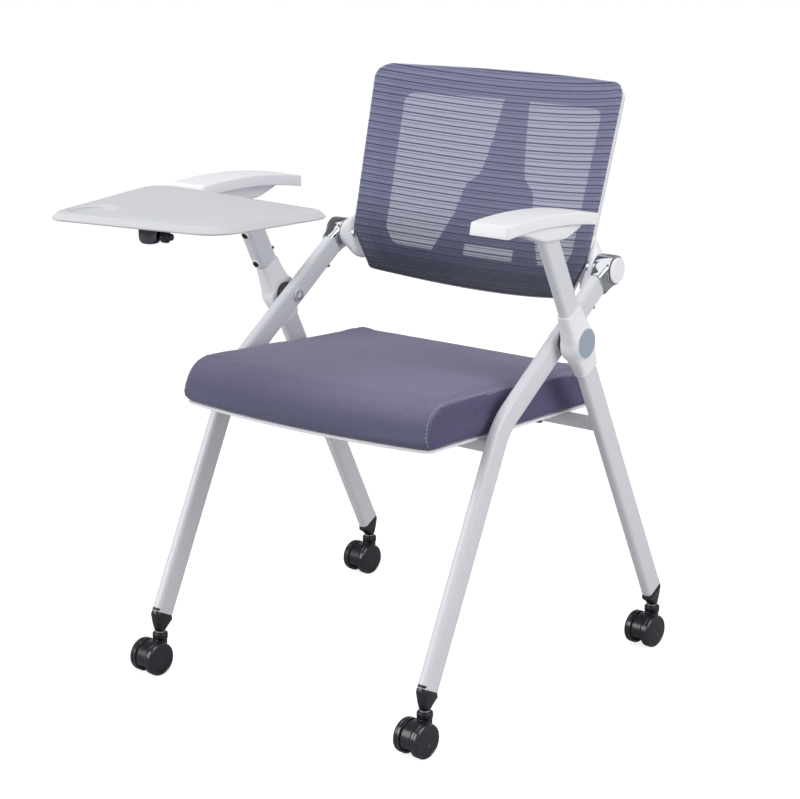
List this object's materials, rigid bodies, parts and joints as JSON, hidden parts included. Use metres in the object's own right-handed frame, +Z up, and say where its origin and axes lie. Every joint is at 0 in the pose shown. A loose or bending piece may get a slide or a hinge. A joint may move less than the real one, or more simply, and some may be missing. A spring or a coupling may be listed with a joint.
{
  "type": "folding training chair with writing tablet",
  "caption": "Folding training chair on casters with a padded seat, striped mesh back, arched armrests and a flip-up writing tablet on one side.",
  "frame": {"origin": "on the floor, at the middle of the footprint of the whole chair with its tablet down", "axes": "+Z up; -Y is the chair's front; +X is the occupant's left, away from the tablet"},
  "size_m": [0.5912, 0.728, 0.818],
  "materials": {
    "white_enamel": "powder coat, satin gloss",
    "white_plastic": "moulded, satin",
    "tablet_plastic": "moulded, fine grain",
    "cap_plastic": "moulded, satin",
    "chrome": "polished plating",
    "zinc_steel": "zinc plated",
    "black_steel": "black oxide",
    "dark_plastic": "moulded",
    "black_plastic": "moulded, glossy",
    "wheel_rubber": "polyurethane tread",
    "dark_aluminium": "die cast, dark plated",
    "seat_fabric": "woven polyester",
    "mesh_fabric": "open striped mesh"
  },
  "bodies": {
    "front_frame": {"front_leg_left": "white_enamel", "front_leg_right": "white_enamel", "front_crossbar": "white_enamel", "front_foot_plugs": "black_plastic", "back_joint_left": "chrome", "back_joint_right": "chrome", "back_joint_caps": "white_plastic", "recline_bushes": "dark_plastic", "joint_screws": "black_steel", "hub_bolts": "zinc_steel", "hub_nuts": "zinc_steel", "hub_spacers": "dark_plastic"},
    "rear_frame": {"rear_leg_left": "white_enamel", "rear_leg_right": "white_enamel", "rear_crossbar": "white_enamel", "rear_foot_plugs": "black_plastic", "hub_cover_left": "white_plastic", "hub_cover_right": "white_plastic", "hub_caps": "cap_plastic", "arm_bracket_left": "white_plastic", "arm_bracket_right": "white_plastic", "armrest_left": "white_plastic", "armrest_right": "white_plastic", "arm_screws": "zinc_steel", "tablet_bracket": "white_enamel", "tablet_bracket_bolts": "black_steel"},
    "seat": {"seat_pan": "white_plastic", "seat_cushion": "seat_fabric", "seat_hinges": "dark_plastic", "seat_saddles": "dark_plastic", "seat_screws": "zinc_steel"},
    "backrest": {"back_frame": "white_plastic", "back_inner_frame": "dark_plastic", "back_spine": "dark_plastic", "back_mesh": "mesh_fabric", "back_shafts": "zinc_steel", "back_screws": "zinc_steel"},
    "tablet_arm": {"tablet_arm": "white_enamel", "tablet_hinge_pin": "zinc_steel", "tablet_swivel_housing": "dark_aluminium"},
    "tablet_lock": {"tablet_lock_knob": "black_plastic"},
    "tablet": {"tablet_board": "tablet_plastic", "tablet_plate": "zinc_steel", "tablet_screws": "black_steel"},
    "caster_fl": {"caster_hood_fl": "black_plastic", "caster_stem_fl": "zinc_steel"},
    "wheels_fl": {"caster_wheels_fl": "wheel_rubber", "caster_axle_fl": "zinc_steel"},
    "caster_fr": {"caster_hood_fr": "black_plastic", "caster_stem_fr": "zinc_steel"},
    "wheels_fr": {"caster_wheels_fr": "wheel_rubber", "caster_axle_fr": "zinc_steel"},
    "caster_rl": {"caster_hood_rl": "black_plastic", "caster_stem_rl": "zinc_steel"},
    "wheels_rl": {"caster_wheels_rl": "wheel_rubber", "caster_axle_rl": "zinc_steel"},
    "caster_rr": {"caster_hood_rr": "black_plastic", "caster_stem_rr": "zinc_steel"},
    "wheels_rr": {"caster_wheels_rr": "wheel_rubber", "caster_axle_rr": "zinc_steel"}
  },
  "joints": [
    {"name": "fold", "type": "hinge", "parent": "front_frame", "child": "rear_frame", "pos_m": [0.00807, 0.09966, 0.49451], "axis": [-1, 0, 0], "range_deg": [0, 42]},
    {"name": "seat_flip", "type": "hinge", "parent": "rear_frame", "child": "seat", "pos_m": [0.00807, 0.16696, 0.3635], "axis": [-1, 0, 0], "range_deg": [0, 38.2]},
    {"name": "back_recline", "type": "hinge", "parent": "front_frame", "child": "backrest", "pos_m": [0.00807, 0.21558, 0.57211], "axis": [-1, 0, 0], "range_deg": [0, 10], "stiffness_Nm_per_rad": 60, "springref_deg": -5.73},
    {"name": "tablet_flip", "type": "hinge", "parent": "rear_frame", "child": "tablet_arm", "pos_m": [-0.25613, -0.03704, 0.626], "axis": [0, -1, 0], "range_deg": [0, 90]},
    {"name": "tablet_swivel", "type": "hinge", "parent": "tablet_arm", "child": "tablet", "pos_m": [-0.16393, -0.26504, 0.6462], "axis": [0, 0, 1], "range_deg": [0, 45]},
    {"name": "tablet_lock_turn", "type": "hinge", "parent": "tablet_arm", "child": "tablet_lock", "pos_m": [-0.14983, -0.25991, 0.6442], "axis": [0.9397, 0.342, 0], "continuous": true},
    {"name": "swivel_fl", "type": "hinge", "parent": "front_frame", "child": "caster_fl", "pos_m": [0.24307, -0.20304, 0.0585], "axis": [0, 0, 1], "continuous": true},
    {"name": "roll_fl", "type": "hinge", "parent": "caster_fl", "child": "wheels_fl", "pos_m": [0.24159, -0.21997, 0.024], "axis": [0.9962, -0.0872, 0], "continuous": true},
    {"name": "swivel_fr", "type": "hinge", "parent": "front_frame", "child": "caster_fr", "pos_m": [-0.22693, -0.20304, 0.0585], "axis": [0, 0, 1], "continuous": true},
    {"name": "roll_fr", "type": "hinge", "parent": "caster_fr", "child": "wheels_fr", "pos_m": [-0.22841, -0.21997, 0.024], "axis": [0.9962, -0.0872, 0], "continuous": true},
    {"name": "swivel_rl", "type": "hinge", "parent": "rear_frame", "child": "caster_rl", "pos_m": [0.27227, 0.31646, 0.0585], "axis": [0, 0, 1], "continuous": true},
    {"name": "roll_rl", "type": "hinge", "parent": "caster_rl", "child": "wheels_rl", "pos_m": [0.27079, 0.29953, 0.024], "axis": [0.9962, -0.0872, 0], "continuous": true},
    {"name": "swivel_rr", "type": "hinge", "parent": "rear_frame", "child": "caster_rr", "pos_m": [-0.25613, 0.31646, 0.0585], "axis": [0, 0, 1], "continuous": true},
    {"name": "roll_rr", "type": "hinge", "parent": "caster_rr", "child": "wheels_rr", "pos_m": [-0.25761, 0.29953, 0.024], "axis": [0.9962, -0.0872, 0], "continuous": true}
  ],
  "couplings": [
    {"joint": "seat_flip", "follows": "fold", "ratio": 0.905}
  ]
}
